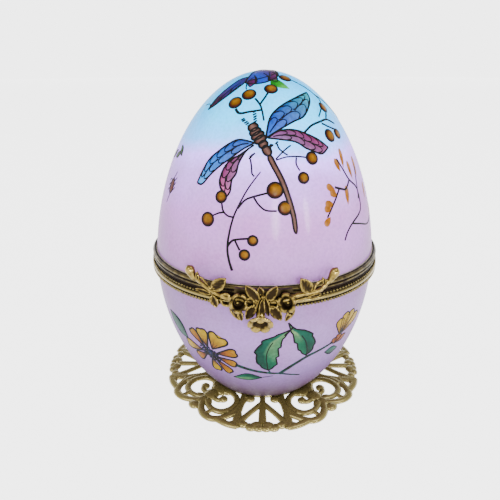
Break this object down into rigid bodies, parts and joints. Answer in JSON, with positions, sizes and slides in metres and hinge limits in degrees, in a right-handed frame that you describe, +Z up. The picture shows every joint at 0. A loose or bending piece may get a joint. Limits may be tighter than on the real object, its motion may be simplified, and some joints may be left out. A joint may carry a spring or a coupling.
{
  "type": "porcelain egg trinket box",
  "caption": "Egg-shaped hinged porcelain trinket box with brass rims, a floral snap clasp and a round pierced brass stand.",
  "frame": {"origin": "centre of the pierced stand's underside, on the table", "axes": "+Z up along the egg's axis, -Y towards the clasp at the front, +Y towards the hinge at the back, +X to the right"},
  "size_m": [0.065, 0.0723, 0.0912],
  "materials": {
    "lid_porcelain": "glossy painted glaze, pale blue to lilac",
    "bowl_porcelain": "glossy painted glaze, lilac",
    "rim_brass": "antique brass, dark in the hollows",
    "clasp_brass": "cast antique brass, rubbed bright on the high spots",
    "stand_brass": "pressed antique brass",
    "cement": "matt white cement"
  },
  "bodies": {
    "bowl": {"bowl_shell": "bowl_porcelain", "bowl_band": "rim_brass", "bowl_rim_cement": "cement", "bowl_beaded_wire": "rim_brass", "bowl_milled_wire": "rim_brass", "bowl_hinge_leaf": "rim_brass", "hinge_pin": "rim_brass", "catch_stud": "clasp_brass", "filigree_stand": "stand_brass", "foot_cement": "cement"},
    "lid": {"lid_shell": "lid_porcelain", "lid_band": "rim_brass", "lid_rim_cement": "cement", "lid_hinge_leaf": "rim_brass", "clasp_back_plate": "clasp_brass", "clasp_left_branch": "clasp_brass", "clasp_right_branch": "clasp_brass", "clasp_left_blossom": "clasp_brass", "clasp_right_blossom": "clasp_brass", "clasp_centre_blossoms": "clasp_brass", "clasp_tongue": "clasp_brass", "thumb_flower": "clasp_brass"}
  },
  "joints": [
    {"name": "lid_hinge", "type": "hinge", "parent": "bowl", "child": "lid", "pos_m": [0, 0.0344, 0.0418], "axis": [-1, 0, 0], "range_deg": [0, 95]}
  ]
}
